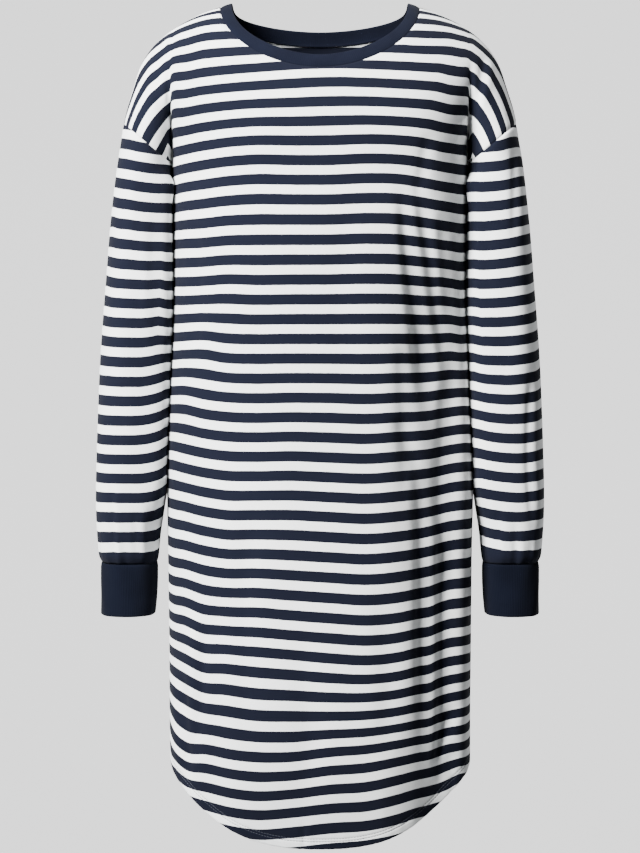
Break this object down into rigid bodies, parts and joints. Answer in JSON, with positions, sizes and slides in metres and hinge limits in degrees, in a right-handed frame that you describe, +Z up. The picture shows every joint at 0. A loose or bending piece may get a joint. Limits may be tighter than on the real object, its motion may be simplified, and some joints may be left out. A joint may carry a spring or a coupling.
{
  "type": "nightshirt",
  "caption": "Long-sleeved horizontally striped jersey nightshirt with a wide ribbed round neck, dropped shoulders, plain ribbed cuffs and a rounded shirt-tail hem.",
  "frame": {"origin": "the middle of the neck at the height of the shoulders, where the wearer's shoulders hold the garment up", "axes": "+Z up, -Y is the garment's front, +X is the side on a viewer's right"},
  "size_m": [0.4702, 0.2327, 0.8738],
  "materials": {
    "striped_jersey": "matte single jersey, navy and white stripes",
    "navy_rib": "matte fine rib, navy"
  },
  "bodies": {
    "root": {"front": "striped_jersey", "back": "striped_jersey", "sleeve_left": "striped_jersey", "sleeve_right": "striped_jersey", "cuff_left": "navy_rib", "cuff_right": "navy_rib", "neckband": "navy_rib"}
  },
  "joints": []
}
